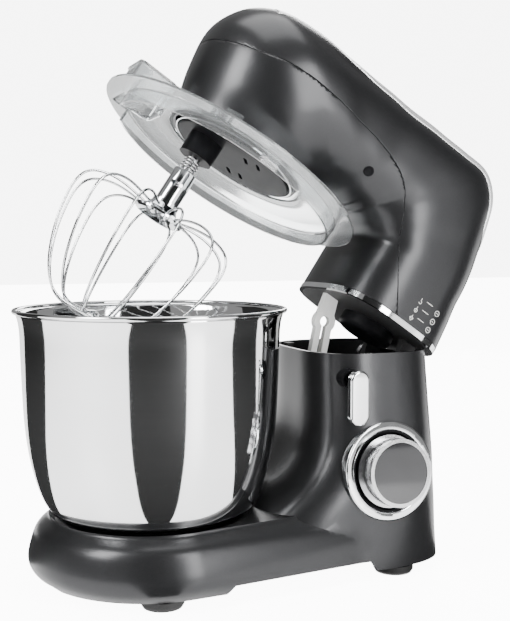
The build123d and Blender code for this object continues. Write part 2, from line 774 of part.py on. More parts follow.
# ---------------------------------------------------------------- flap over the chute
FLAP_HINGE_Y = CHUTE[1] + CHUTE_Y / 2 - 1.0
FLAP_HINGE_Z = CHUTE_TOP_Z + 2.4
with BuildPart() as guard_flap:
    with BuildSketch(Plane.XY.offset(CHUTE_TOP_Z + GAP)):
        with Locations((CHUTE[0], CHUTE[1] - 1.5)):
            RectangleRounded(CHUTE_X + 2, CHUTE_Y - 1, 6)
    extrude(amount=2)
    with BuildSketch(Plane.YZ.offset(CHUTE[0])):
        with Locations((FLAP_HINGE_Y, FLAP_HINGE_Z)):
            Circle(2)
    extrude(amount=CHUTE_X / 2 - 6, both=True)

# ---------------------------------------------------------------- planet carrier
with BuildPart() as planet_hub:
    with BuildSketch(Plane.XY.offset(HUB_Z)):
        Circle(HUB_R)
    extrude(amount=3.5)
    fillet(planet_hub.faces().sort_by(Axis.Z)[0].edges(), 2.2)
    with BuildSketch(Plane.XY.offset(HUB_Z + 3.5)):
        Circle(HUB_R)
        Circle(HUB_R - 3, mode=Mode.SUBTRACT)
    extrude(amount=11.5)
    with BuildSketch(Plane.XY.offset(HUB_Z + 3)):
        with Locations((0, 0)):
            Circle(11)
        with Locations((0, -ORBIT)):
            Circle(11)
        make_hull()
    extrude(amount=14)
    with BuildSketch(Plane.XY.offset(210)):
        with Locations((0, -ORBIT)):
            Circle(BOSS_R)
    extrude(amount=HUB_Z - 210 + 1)
    with BuildSketch(Plane.XY.offset(200)):
        with Locations((0, -ORBIT)):
            Circle(BEATER_R + RUN)
    extrude(amount=60, mode=Mode.SUBTRACT)
    with BuildSketch(Plane.XY.offset(HUB_Z + 6)):
        Circle(6)
    extrude(amount=20, mode=Mode.SUBTRACT)
    with BuildSketch(Plane.XY.offset(HUB_Z - 1)):
        with Locations((21, 4), (27, 14), (-24, 20), (-30, 10)):
            SlotOverall(12, 3.2, rotation=-35)
    extrude(amount=6, mode=Mode.SUBTRACT)

with BuildPart() as planet_shaft:
    with BuildSketch(Plane.XY.offset(HUB_Z + 6)):
        Circle(6)
    extrude(amount=58)

with BuildPart() as planet_gear:
    add(tooth_face(265, (0, 0), tooth_outline(MODULE_GEAR, GEAR_TEETH, 1.6, 2.2, BACKLASH, 90)))
    extrude(amount=8)
    with BuildSketch(Plane.XY.offset(262)):
        Circle(12)
    extrude(amount=16)
    with BuildSketch(Plane.XY.offset(260)):
        Circle(6)
        with PolarLocations(32, 6):
            Circle(11)
    extrude(amount=24, mode=Mode.SUBTRACT)

# ---------------------------------------------------------------- countershaft
with BuildPart() as counter_shaft:
    with BuildSketch(Plane.XY.offset(257)):
        with Locations((0, COUNTER_Y)):
            Circle(4)
    extrude(amount=50)

with BuildPart() as counter_pinion:
    half_tooth = 180 / PINION_TEETH
    outline = tooth_outline(MODULE_GEAR, PINION_TEETH, 1.6, 2.2, BACKLASH, -90 + half_tooth)
    add(tooth_face(264, (0, COUNTER_Y), outline))
    extrude(amount=10)
    with BuildSketch(Plane.XY.offset(263)):
        with Locations((0, COUNTER_Y)):
            Circle(4)
    extrude(amount=12, mode=Mode.SUBTRACT)

with BuildPart() as counter_pulley:
    with BuildSketch(Plane.XY.offset(292.5)):
        with Locations((0, COUNTER_Y)):
            Circle(BIG_PULLEY_R)
    extrude(amount=11)
    with BuildSketch(Plane.XY.offset(292)):
        with Locations((0, COUNTER_Y)):
            Circle(4)
            with PolarLocations(25, 6):
                Circle(8.5)
    extrude(amount=12, mode=Mode.SUBTRACT)

# ---------------------------------------------------------------- motor rotor
with BuildPart() as motor_shaft:
    with BuildSketch(Plane.XY.offset(188.5)):
        with Locations((0, MOTOR_Y)):
            Circle(4)
    extrude(amount=118)

with BuildPart() as motor_rotor:
    with BuildSketch(Plane.XY.offset(208)):
        with Locations((0, MOTOR_Y)):
            Circle(20.4)
            with PolarLocations(20.4, 12):
                Rectangle(9, 2.2, mode=Mode.SUBTRACT)
            Circle(4, mode=Mode.SUBTRACT)
    extrude(amount=52)

with BuildPart() as motor_commutator:
    with BuildSketch(Plane.XY.offset(192)):
        with Locations((0, MOTOR_Y)):
            Circle(12)
            Circle(4, mode=Mode.SUBTRACT)
    extrude(amount=13)

with BuildPart() as motor_fan:
    with BuildSketch(Plane.XY.offset(271.5)):
        with Locations((0, MOTOR_Y)):
            Circle(31)
            Circle(4, mode=Mode.SUBTRACT)
    extrude(amount=2)
    with BuildSketch(Plane.XY.offset(273)):
        with Locations((0, MOTOR_Y)):
            with PolarLocations(20, 11):
                Rectangle(18, 1.6, rotation=25)
    extrude(amount=8)

with BuildPart() as motor_pulley:
    with BuildSketch(Plane.XY.offset(292.5)):
        with Locations((0, MOTOR_Y)):
            Circle(SMALL_PULLEY_R)
            Circle(4, mode=Mode.SUBTRACT)
    extrude(amount=11)

# ---------------------------------------------------------------- beater shaft and whisk
with BuildPart() as beater_shaft:
    with BuildSketch(Plane.XY.offset(168)):
        with Locations((0, -ORBIT)):
            Circle(BEATER_R)
    extrude(amount=88)
    chamfer(beater_shaft.faces().sort_by(Axis.Z)[0].edges(), 1)
    with BuildSketch(Plane.YZ.offset(-11)):
        with Locations((-ORBIT, 182)):
            Circle(1.6)
    extrude(amount=22)

with BuildPart() as planet_pinion:
    add(tooth_face(246.6, (0, -ORBIT), tooth_outline(MODULE_RING, PLANET_TEETH, 1.0, 1.4, BACKLASH, -90)))
    extrude(amount=8.4)
    with BuildSketch(Plane.XY.offset(246)):
        with Locations((0, -ORBIT)):
            Circle(BEATER_R)
    extrude(amount=10, mode=Mode.SUBTRACT)

with BuildPart() as shaft_spring:
    with BuildLine():
        coil = Helix(pitch=2.6, height=10.4, radius=6.6, center=(0, -ORBIT, 197.6))
    with BuildSketch(Plane(coil @ 0, z_dir=coil % 0)):
        Circle(0.8)
    sweep()

with BuildPart() as whisk_hub:
    with BuildSketch(Plane.XY.offset(166)):
        with Locations((0, -ORBIT)):
            Circle(9.8)
    extrude(amount=30)
    fillet(whisk_hub.faces().sort_by(Axis.Z)[-1].edges(), 1)
    with BuildSketch(Plane.XY.offset(166)):
        with Locations((0, -ORBIT)):
            Circle(BEATER_R + 0.2)
    extrude(amount=40, mode=Mode.SUBTRACT)
    with Locations((0, -ORBIT, 190)):
        Box(30, 4.2, 18, mode=Mode.SUBTRACT)
    with Locations((7, -ORBIT - 3, 182), (-7, -ORBIT + 3, 182)):
        Box(12, 9, 4.2, mode=Mode.SUBTRACT)

with BuildPart() as whisk_plate:
    add(turned([(0, 158), (9, 158), (13, 154.5), (19.5, 151.5), (21.5, 153), (21.5, 154.6), (14, 158.5), (11.5, 163),
                (11.5, 166), (0, 166)]).moved(Location((0, -ORBIT, 0))))

with BuildPart() as whisk_wires:
    for loop in range(WHISK_LOOPS):
        turn = math.pi * loop / WHISK_LOOPS
        side = (math.cos(turn), math.sin(turn), 0)
        run = [(r, z) for r, z in WIRE_POINTS]
        lift = LOOP_STEP * loop
        path = [(r, z + lift * (1 - r / 37) if r < 37 else z) for r, z in run]
        path += [(0, WHISK_TIP_Z + lift)]
        path += [(-r, z) for r, z in reversed(path[:-1])]
        frame = Plane((0, -ORBIT, 0), x_dir=side, z_dir=(side[1], -side[0], 0))
        with BuildLine():
            wire = Spline(*[frame.from_local_coords((r, z, 0)) for r, z in path])
        with BuildSketch(Plane(wire @ 0, z_dir=wire % 0)):
            Circle(WIRE_R)
        sweep()
    add(whisk_plate.part, mode=Mode.SUBTRACT)

# ---------------------------------------------------------------- knob
with BuildPart() as knob_body:
    with BuildSketch(KNOB_PLANE.offset(-5)):
        Circle(KNOB_SKIRT_R)
    extrude(amount=9)
    with BuildSketch(KNOB_PLANE.offset(4)):
        Circle(KNOB_R)
    extrude(amount=KNOB_REACH - 6)
    with BuildSketch(KNOB_PLANE.offset(KNOB_REACH - 4)):
        Circle(KNOB_R - 3)
    extrude(amount=4, mode=Mode.SUBTRACT)
    with BuildSketch(KNOB_PLANE.offset(-20)):
        Circle(SPINDLE_R)
    extrude(amount=16)

with BuildPart() as knob_ring:
    with BuildSketch(KNOB_PLANE.offset(KNOB_REACH - 2)):
        Circle(KNOB_R)
        Circle(KNOB_R - 3, mode=Mode.SUBTRACT)
    extrude(amount=2)

with BuildPart() as knob_glass:
    with BuildSketch(KNOB_PLANE.offset(KNOB_REACH - 4)):
        Circle(KNOB_R - 3)
    extrude(amount=3.6)

# ---------------------------------------------------------------- release lever and latch
with BuildPart() as release_lever:
    with BuildSketch(Plane.YZ.offset(LEVER_X)):
        with Locations((LATCH_Y + 1, LATCH_Z + LEVER_W / 2 - LEVER_L / 2)):
            SlotOverall(LEVER_L, LEVER_W, rotation=90)
    extrude(amount=LEVER_T)
    fillet(release_lever.faces().sort_by(Axis.X)[-1].edges(), 2)
    with BuildSketch(Plane.YZ.offset(54)):
        with Locations((LATCH_Y, LATCH_Z)):
            Circle(LEVER_SHAFT_R)
    extrude(amount=LEVER_X - 53)

with BuildPart() as latch_bolt:
    with BuildSketch(Plane.YZ.offset(5)):
        with Locations((LATCH_Y, LATCH_Z)):
            Circle(BOLT_R)
    extrude(amount=44)
    chamfer(latch_bolt.faces().sort_by(Axis.X)[0].edges(), 0.8)

# ---------------------------------------------------------------- write the sub-parts
for piece in (head_upper_cover, head_lower_housing, head_top_trim, side_caps, neck_trim, neck_floor, motor_cap,
              lock_hook, nose_ring, gearbox_plate, gearbox_bridge, ring_gear, motor_stator, motor_coils,
              motor_bracket, motor_brushes, drive_belt, splash_guard, guard_clips, guard_flap, planet_hub,
              planet_shaft, planet_gear, counter_shaft, counter_pinion, counter_pulley, motor_shaft, motor_rotor,
              motor_commutator, motor_fan, motor_pulley, beater_shaft, planet_pinion, shaft_spring,
              whisk_hub, whisk_plate, whisk_wires):
    piece.part = raised(piece.part)

PIECES = {
    "base_housing": base_housing,
    "bottom_cover": bottom_cover,
    "rubber_feet": rubber_feet,
    "bowl_socket": bowl_socket,
    "column_deck": column_deck,
    "hinge_bracket": hinge_bracket,
    "hinge_pin": hinge_pin,
    "latch_guide": latch_guide,
    "deck_buffer": deck_buffer,
    "wire_clip": wire_clip,
    "lever_bush": lever_bush,
    "knob_bezel": knob_bezel,
    "knob_well": knob_well,
    "speed_switch": speed_switch,
    "control_board": control_board,
    "cord_inlet": cord_inlet,
    "bowl": bowl,
    "bowl_foot": bowl_foot,
    "head_upper_cover": head_upper_cover,
    "head_lower_housing": head_lower_housing,
    "head_top_trim": head_top_trim,
    "side_caps": side_caps,
    "neck_trim": neck_trim,
    "neck_floor": neck_floor,
    "motor_cap": motor_cap,
    "lock_hook": lock_hook,
    "nose_ring": nose_ring,
    "gearbox_plate": gearbox_plate,
    "gearbox_bridge": gearbox_bridge,
    "ring_gear": ring_gear,
    "motor_stator": motor_stator,
    "motor_coils": motor_coils,
    "motor_bracket": motor_bracket,
    "motor_brushes": motor_brushes,
    "drive_belt": drive_belt,
    "splash_guard": splash_guard,
    "guard_clips": guard_clips,
    "guard_flap": guard_flap,
    "planet_hub": planet_hub,
    "planet_shaft": planet_shaft,
    "planet_gear": planet_gear,
    "counter_shaft": counter_shaft,
    "counter_pinion": counter_pinion,
    "counter_pulley": counter_pulley,
    "motor_shaft": motor_shaft,
    "motor_rotor": motor_rotor,
    "motor_commutator": motor_commutator,
    "motor_fan": motor_fan,
    "motor_pulley": motor_pulley,
    "beater_shaft": beater_shaft,
    "planet_pinion": planet_pinion,
    "shaft_spring": shaft_spring,
    "whisk_hub": whisk_hub,
    "whisk_plate": whisk_plate,
    "whisk_wires": whisk_wires,
    "knob_body": knob_body,
    "knob_ring": knob_ring,
    "knob_glass": knob_glass,
    "release_lever": release_lever,
    "latch_bolt": latch_bolt,
}
for name, piece in PIECES.items():
    piece.part.label = name
    export_step(piece.part, "parts/" + name + ".step")
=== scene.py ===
import json
import math

import bmesh
import bpy
from mathutils import Matrix, Vector
from mathutils.bvhtree import BVHTree


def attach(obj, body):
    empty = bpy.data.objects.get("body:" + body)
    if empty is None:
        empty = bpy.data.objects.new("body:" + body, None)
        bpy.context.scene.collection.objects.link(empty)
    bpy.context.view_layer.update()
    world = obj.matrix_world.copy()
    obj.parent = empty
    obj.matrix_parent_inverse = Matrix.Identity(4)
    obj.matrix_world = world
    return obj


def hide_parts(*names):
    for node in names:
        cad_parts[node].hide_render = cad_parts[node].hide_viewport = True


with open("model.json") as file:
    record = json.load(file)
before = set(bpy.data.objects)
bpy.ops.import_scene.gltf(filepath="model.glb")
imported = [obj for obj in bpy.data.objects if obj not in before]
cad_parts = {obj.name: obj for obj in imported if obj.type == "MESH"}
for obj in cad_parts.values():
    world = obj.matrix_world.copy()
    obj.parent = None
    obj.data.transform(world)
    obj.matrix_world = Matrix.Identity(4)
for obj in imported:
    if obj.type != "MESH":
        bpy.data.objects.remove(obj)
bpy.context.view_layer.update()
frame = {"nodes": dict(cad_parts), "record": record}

MM = 0.001
TILT = math.radians(34.0)
HINGE = Vector((0.0, 219.0, 168.5)) * MM
NODES = frame["nodes"]


def up(x, y, z):
    """A point of the lowered head, in mm, in the stored pose, in metres."""
    dy = y * MM - HINGE.y
    dz = z * MM - HINGE.z
    c = math.cos(TILT)
    s = math.sin(TILT)
    return Vector((x * MM, HINGE.y + dy * c + dz * s, HINGE.z - dy * s + dz * c))



# ---------------------------------------------------------------- materials
BUMP_DEPTH = 0.0002


def new_material(name):
    m = bpy.data.materials.new(name)
    m.use_nodes = True
    return m, m.node_tree.nodes, m.node_tree.links, m.node_tree.nodes["Principled BSDF"]


def object_coords(nodes, links, scale):
    coord = nodes.new("ShaderNodeTexCoord")
    mapping = nodes.new("ShaderNodeMapping")
    mapping.inputs["Scale"].default_value = scale
    links.new(coord.outputs["Object"], mapping.inputs["Vector"])
    return mapping.outputs["Vector"]


def ramp(nodes, links, source, low, high, start=0.3, end=0.7):
    r = nodes.new("ShaderNodeValToRGB")
    r.color_ramp.elements[0].position = start
    r.color_ramp.elements[1].position = end
    r.color_ramp.elements[0].color = low
    r.color_ramp.elements[1].color = high
    links.new(source, r.inputs["Fac"])
    return r.outputs["Color"]


def tone(c, k):
    return tuple(min(1.0, v * k) for v in c) + (1.0,)


def finish(name, color, metallic, rough, grain=400.0, stretch=(1, 1, 1), spread=0.12,
           rough_spread=0.06, bump=0.0, coat=0.0, coat_rough=0.1, specular=0.5):
    """A grained surface: the colour and the roughness both wander by their spread."""
    m, nodes, links, shader = new_material(name)
    vector = object_coords(nodes, links, tuple(grain * s for s in stretch))
    noise = nodes.new("ShaderNodeTexNoise")
    noise.inputs["Scale"].default_value = 1.0
    noise.inputs["Detail"].default_value = 3.0
    links.new(vector, noise.inputs["Vector"])
    shade = ramp(nodes, links, noise.outputs["Fac"], tone(color, 1 - spread), tone(color, 1 + spread))
    links.new(shade, shader.inputs["Base Color"])
    span = nodes.new("ShaderNodeMapRange")
    span.inputs["To Min"].default_value = max(0.0, rough - rough_spread)
    span.inputs["To Max"].default_value = rough + rough_spread
    links.new(noise.outputs["Fac"], span.inputs["Value"])
    links.new(span.outputs["Result"], shader.inputs["Roughness"])
    shader.inputs["Metallic"].default_value = metallic
    shader.inputs["Specular IOR Level"].default_value = specular
    if coat:
        shader.inputs["Coat Weight"].default_value = coat
        shader.inputs["Coat Roughness"].default_value = coat_rough
    if bump:
        b = nodes.new("ShaderNodeBump")
        b.inputs["Strength"].default_value = bump
        b.inputs["Distance"].default_value = BUMP_DEPTH
        links.new(noise.outputs["Fac"], b.inputs["Height"])
        links.new(b.outputs["Normal"], shader.inputs["Normal"])
    return m


def clear_finish(name):
    m, nodes, links, shader = new_material(name)
    vector = object_coords(nodes, links, (60, 60, 60))
    noise = nodes.new("ShaderNodeTexNoise")
    noise.inputs["Scale"].default_value = 1.0
    links.new(vector, noise.inputs["Vector"])
    span = nodes.new("ShaderNodeMapRange")
    span.inputs["To Min"].default_value = 0.05
    span.inputs["To Max"].default_value = 0.1
    links.new(noise.outputs["Fac"], span.inputs["Value"])
    links.new(span.outputs["Result"], shader.inputs["Roughness"])
    shade = ramp(nodes, links, noise.outputs["Fac"], (0.9, 0.93, 0.94, 1), (0.97, 0.985, 0.99, 1))
    links.new(shade, shader.inputs["Base Color"])
    shader.inputs["Transmission Weight"].default_value = 0.95
    shader.inputs["IOR"].default_value = 1.4
    return m


PAINT = (0.027, 0.0273, 0.029)
MATERIALS = {
    "body_paint": finish("body_paint", PAINT, 0.62, 0.31, grain=1800, spread=0.14,
                         rough_spread=0.03, coat=0.18, coat_rough=0.2),
    "trim_chrome": finish("trim_chrome", (0.86, 0.87, 0.88), 1.0, 0.07, grain=90, spread=0.03,
                          rough_spread=0.025),
    "trim_silver": finish("trim_silver", (0.9, 0.9, 0.905), 0.55, 0.3, grain=300,
                          stretch=(1, 0.05, 0.05), spread=0.05, rough_spread=0.05),
    "bowl_steel": finish("bowl_steel", (0.84, 0.845, 0.85), 1.0, 0.055, grain=200,
                         stretch=(0.1, 0.1, 2), spread=0.02, rough_spread=0.02),
    "clear_plastic": clear_finish("clear_plastic"),
    "dark_plastic": finish("dark_plastic", (0.007, 0.007, 0.008), 0.0, 0.42, grain=120,
                           spread=0.3, rough_spread=0.05, specular=0.05),
    "matt_dark": finish("matt_dark", (0.02, 0.02, 0.021), 0.0, 0.5, grain=900, spread=0.25,
                        bump=0.2),
    "white_plastic": finish("white_plastic", (0.8, 0.8, 0.78), 0.0, 0.38, grain=200,
                            spread=0.04, bump=0.05),
    "foot_rubber": finish("foot_rubber", (0.012, 0.012, 0.012), 0.0, 0.62, grain=1200,
                          spread=0.3, bump=0.35),
    "steel": finish("steel", (0.6, 0.6, 0.61), 1.0, 0.24, grain=500, stretch=(1, 1, 0.05),
                    spread=0.08),
    "aluminium": finish("aluminium", (0.6, 0.6, 0.61), 1.0, 0.42, grain=700, spread=0.1,
                        bump=0.2),
    "copper_winding": finish("copper_winding", (0.62, 0.27, 0.09), 1.0, 0.3, grain=1500,
                             stretch=(0.05, 1, 1), spread=0.3, bump=0.5),
    "board_green": finish("board_green", (0.02, 0.1, 0.04), 0.0, 0.35, grain=600, spread=0.3,
                          bump=0.1),
    "belt_rubber": finish("belt_rubber", (0.015, 0.015, 0.015), 0.0, 0.6, grain=900, spread=0.3,
                          bump=0.3),
    "gear_nylon": finish("gear_nylon", (0.72, 0.7, 0.6), 0.0, 0.42, grain=300, spread=0.06,
                         bump=0.05),
    "knob_metal": finish("knob_metal", (0.62, 0.62, 0.63), 1.0, 0.2, grain=250, spread=0.06,
                         rough_spread=0.05),
}
ICON_INK = finish("icon_ink", (0.62, 0.62, 0.6), 0.0, 0.4, grain=500, spread=0.05)
GLASS_FACE = finish("glass_face", (0.018, 0.018, 0.02), 0.0, 0.05, grain=60, spread=0.2,
                    rough_spread=0.02, coat=1.0, coat_rough=0.03)

# ---------------------------------------------------------------- smooth shading of the meshes
SHARP_ANGLE = math.radians(28)
MERGE_DISTANCE = 0.00001


def smooth_group():
    """Smooths every face and keeps the edges past the sharp angle crisp."""
    g = bpy.data.node_groups.new("smooth_by_edge", "GeometryNodeTree")
    g.interface.new_socket("Geometry", in_out="INPUT", socket_type="NodeSocketGeometry")
    g.interface.new_socket("Geometry", in_out="OUTPUT", socket_type="NodeSocketGeometry")
    n_in = g.nodes.new("NodeGroupInput")
    n_out = g.nodes.new("NodeGroupOutput")
    merge = g.nodes.new("GeometryNodeMergeByDistance")
    merge.inputs["Distance"].default_value = MERGE_DISTANCE
    faces = g.nodes.new("GeometryNodeSetShadeSmooth")
    faces.domain = "FACE"
    edges = g.nodes.new("GeometryNodeSetShadeSmooth")
    edges.domain = "EDGE"
    edges.inputs["Shade Smooth"].default_value = False
    angle = g.nodes.new("GeometryNodeInputMeshEdgeAngle")
    more = g.nodes.new("FunctionNodeCompare")
    more.data_type = "FLOAT"
    more.operation = "GREATER_THAN"
    more.inputs[1].default_value = SHARP_ANGLE
    g.links.new(n_in.outputs[0], merge.inputs["Geometry"])
    g.links.new(merge.outputs["Geometry"], faces.inputs["Geometry"])
    g.links.new(faces.outputs["Geometry"], edges.inputs["Geometry"])
    g.links.new(angle.outputs["Unsigned Angle"], more.inputs[0])
    g.links.new(more.outputs["Result"], edges.inputs["Selection"])
    g.links.new(edges.outputs["Geometry"], n_out.inputs[0])
    return g


SMOOTH = smooth_group()
SLOT_OF = {s["node"]: s["material_slot"] for s in frame["record"]["subparts"]}
SPECIAL = {"knob_glass": GLASS_FACE}
for name, obj in NODES.items():
    material = SPECIAL.get(name, MATERIALS[SLOT_OF[name]])
    if not obj.material_slots:
        obj.data.materials.append(material)
    for s in obj.material_slots:
        s.material = material
    mod = obj.modifiers.new("smooth", "NODES")
    mod.node_group = SMOOTH


# ---------------------------------------------------------------- mesh helpers
def add_mesh(name, verts, faces, material, body, smooth=True):
    mesh = bpy.data.meshes.new(name)
    mesh.from_pydata([tuple(v) for v in verts], [], faces)
    mesh.materials.append(material)
    for p in mesh.polygons:
        p.use_smooth = smooth
    mesh.update()
    obj = bpy.data.objects.new(name, mesh)
    bpy.context.scene.collection.objects.link(obj)
    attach(obj, body)
    return obj


# ---------------------------------------------------------------- head skin
# Each row is a slice: its position, inner reach, outer reach, half width and squareness.
# The position is an angle about PIVOT, and before 0 and past 180 the slices slide straight down.
HEAD_TABLE = [
    (-5, 36, 153.5, 58, 2.0), (0, 34.5, 156, 59.5, 2.0), (14, 29, 171, 71, 2.05),
    (26, 24, 185, 75, 2.1), (31, 22, 185, 75.5, 2.1), (36, 20.5, 181, 76, 2.15),
    (46, 17.5, 160.5, 75, 2.2), (58, 15.5, 137, 72, 2.3), (74, 13, 121, 70, 2.45),
    (90, 12, 116, 68, 2.6), (108, 13, 123, 67.5, 2.75), (122, 14, 138.5, 67, 2.85),
    (130, 15.5, 152, 67, 2.95), (136, 16, 154.5, 66.5, 3.0), (141, 17, 153.5, 66.5, 3.0),
    (148, 19, 147, 66.5, 3.05), (162, 23.5, 139, 66, 3.15), (180, 31, 136.5, 66, 3.3),
    (204, 31, 139.5, 66, 3.3), (227, 31, 142, 66, 3.3)]
PIVOT = (94.0, 236.0)
SLICES = 300
AROUND = 200
SKIN_T = 2.4
SHUT_LINE = [(-110, 291), (-47, 292), (-25, 296.6), (0, 298.3), (25, 297.8), (50, 296.4),
             (72, 295.2), (90, 292.6), (106, 287.3), (119, 278.5), (129, 266), (136, 251),
             (143, 237), (154, 216), (167, 195.5), (176, 180)]
SHUT_GAP = 0.55
SKIN_SOFTENING = 14
CUT_TOLERANCE = 1e-6
STRIP_HALF = 57.0
STRIP_FRONT = -44.0
STRIP_TAPER = 0.16
STRIP_WIDE_FROM = 50.0
STRIP_LIFT = 0.5
STRIP_LOW = 318.0
STRIP_TURN_Y = 186.0
STRIP_BACK_RUN = 44.0


def monotone(xs, ys, x):
    """Shape-keeping cubic through the table's values."""
    n = len(xs)
    i = max(j for j in range(n - 1) if xs[j] <= x or j == 0)
    slopes = [(ys[j + 1] - ys[j]) / (xs[j + 1] - xs[j]) for j in range(n - 1)]

    def tangent(j):
        if j == 0:
            return slopes[0]
        if j == n - 1:
            return slopes[-1]
        a, b = slopes[j - 1], slopes[j]
        if a * b <= 0:
            return 0.0
        ha, hb = xs[j] - xs[j - 1], xs[j + 1] - xs[j]
        w1, w2 = 2 * hb + ha, hb + 2 * ha
        return (w1 + w2) / (w1 / a + w2 / b)

    h = xs[i + 1] - xs[i]
    t = min(max((x - xs[i]) / h, 0), 1)
    return ((2 * t ** 3 - 3 * t ** 2 + 1) * ys[i] + (t ** 3 - 2 * t ** 2 + t) * h * tangent(i)
            + (3 * t ** 2 - 2 * t ** 3) * ys[i + 1] + (t ** 3 - t ** 2) * h * tangent(i + 1))


def softened(values, rounds):
    for _ in range(rounds):
        values = [values[0]] + [(values[i - 1] + 2 * values[i] + values[i + 1]) / 4
                                for i in range(1, len(values) - 1)] + [values[-1]]
    return values


def head_grid():
    """Points of the lowered head's skin, in mm, as rings."""
    first, last = HEAD_TABLE[0][0], HEAD_TABLE[-1][0]
    stations = [first + (last - first) * i / SLICES for i in range(SLICES + 1)]
    xs = [row[0] for row in HEAD_TABLE]
    columns = []
    for c in range(1, 5):
        ys = [row[c] for row in HEAD_TABLE]
        columns.append(softened([monotone(xs, ys, t) for t in stations], SKIN_SOFTENING))
    rings = []
    for i, t in enumerate(stations):
        angle = math.radians(min(max(t, 0), 180))
        drop = -t if t < 0 else max(0.0, t - 180)
        inner, outer, half, power = (column[i] for column in columns)
        middle, reach = (inner + outer) / 2, (outer - inner) / 2
        ring = []
        for k in range(AROUND):
            u = 2 * math.pi * k / AROUND
            c, s = math.cos(u), math.sin(u)
            x = half * math.copysign(abs(s) ** (2 / power), s)
            r = middle + reach * math.copysign(abs(c) ** (2 / power), c)
            ring.append((x, PIVOT[0] - r * math.cos(angle), PIVOT[1] + r * math.sin(angle) - drop))
        rings.append(ring)
    return rings


def cut_by(bm, a, b):
    """Cuts the drawn-down mesh by the plane through two (y, z) points, square to the side view."""
    normal = Vector((0, -(b[1] - a[1]), b[0] - a[0])).normalized()
    bmesh.ops.bisect_plane(bm, geom=bm.verts[:] + bm.edges[:] + bm.faces[:], dist=CUT_TOLERANCE,
                           plane_co=Vector((0, a[0], a[1])), plane_no=normal)


def above_line(y, z, shift=0.0):
    """True where a (y, z) point lies above or behind the shut line."""
    polygon = [(py, pz - shift) for py, pz in SHUT_LINE] + [(300, 150), (300, 420), (-110, 420)]
    inside = False
    j = len(polygon) - 1
    for i, (yi, zi) in enumerate(polygon):
        yj, zj = polygon[j]
        if (zi > z) != (zj > z) and y < (yj - yi) * (z - zi) / (zj - zi) + yi:
            inside = not inside
        j = i
    return inside


def strip_half(y):
    """Half the strip's width, drawn in towards the nose."""
    return STRIP_HALF - STRIP_TAPER * max(0.0, STRIP_WIDE_FROM - y)


def in_strip(x, y, z):
    return abs(x) < strip_half(y) and y > STRIP_FRONT and z > STRIP_LOW - max(0.0, y - STRIP_TURN_Y)


def build_head():
    """The skin's points and faces, parted into the cover, the housing and the bright strip."""
    rings = head_grid()
    bm = bmesh.new()
    grid = [[bm.verts.new(p) for p in ring] for ring in rings]
    for i in range(SLICES):
        for k in range(AROUND):
            n = (k + 1) % AROUND
            bm.faces.new((grid[i][k], grid[i][n], grid[i + 1][n], grid[i + 1][k]))
    for (ay, az), (by, bz) in zip(SHUT_LINE, SHUT_LINE[1:]):
        for shift in (0.0, SHUT_GAP):
            cut_by(bm, (ay, az - shift), (by, bz - shift))
    for side in (-1, 1):
        for slope in (0.0, -STRIP_TAPER * side):
            bmesh.ops.bisect_plane(bm, geom=bm.verts[:] + bm.edges[:] + bm.faces[:], dist=CUT_TOLERANCE,
                                   plane_co=Vector((side * STRIP_HALF, STRIP_WIDE_FROM, 0)),
                                   plane_no=Vector((1, slope, 0)).normalized())
    cut_by(bm, (STRIP_FRONT, 300), (STRIP_FRONT, 360))
    cut_by(bm, (-100, STRIP_LOW), (STRIP_TURN_Y, STRIP_LOW))
    cut_by(bm, (STRIP_TURN_Y, STRIP_LOW), (STRIP_TURN_Y + STRIP_BACK_RUN, STRIP_LOW - STRIP_BACK_RUN))
    bm.normal_update()
    groups = {"cover": [], "housing": [], "strip": []}
    for f in bm.faces:
        c = f.calc_center_median()
        if in_strip(c.x, c.y, c.z):
            groups["strip"].append(f)
        elif above_line(c.y, c.z):
            groups["cover"].append(f)
        elif not above_line(c.y, c.z, SHUT_GAP):
            groups["housing"].append(f)
    normals = {v: v.normal.copy() for v in bm.verts}
    out = {}
    for key, faces in groups.items():
        index = {}
        verts = []
        polygons = []
        lift = STRIP_LIFT if key == "strip" else 0.0
        for f in faces:
            row = []
            for v in f.verts:
                if v not in index:
                    index[v] = len(verts)
                    verts.append(up(*(v.co + normals[v] * lift)))
                row.append(index[v])
            polygons.append(tuple(row))
        out[key] = (verts, polygons)
    bm.free()
    return out


HEAD = build_head()
cover_verts, cover_faces = HEAD["cover"]
housing_verts, housing_faces = HEAD["housing"]
skin_faces = cover_faces + [tuple(len(cover_verts) + i for i in f) for f in housing_faces]
SKIN_TREE = BVHTree.FromPolygons(cover_verts + housing_verts, skin_faces)
SKINS = [("cover", "head_cover_skin", "head_upper_cover", "body_paint"),
         ("housing", "head_housing_skin", "head_lower_housing", "body_paint"),
         ("strip", "head_top_strip", "head_top_trim", "trim_silver")]
for key, piece, node, slot_name in SKINS:
    verts, polygons = HEAD[key]
    skin = add_mesh(piece, verts, polygons, MATERIALS[slot_name], "head")
    thick = skin.modifiers.new("thickness", "SOLIDIFY")
    thick.thickness = SKIN_T * MM
    thick.offset = -1.0
    thick.use_even_offset = False
    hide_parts(node)

# ---------------------------------------------------------------- bowl skin, one smooth lathe
BOWL_PROFILE = [(0, 42), (54, 42), (64, 44), (74, 50.5), (83, 60), (88.7, 70), (92.9, 82),
                (96, 94), (98.6, 106), (100.5, 120), (101.8, 134), (102.6, 150), (103.2, 166),
                (103.8, 184), (104.2, 200), (104.8, 209), (106.2, 214.6), (107.6, 217.4)]
BOWL_WALL = 1.2
BEAD_R = 1.8
BEAD_SPOT = (108.4, 218.4)
BOWL_AROUND = 160
BOWL_STEP = 3.0
BOWL_SOFTENING = 6
BEAD_AROUND = 20


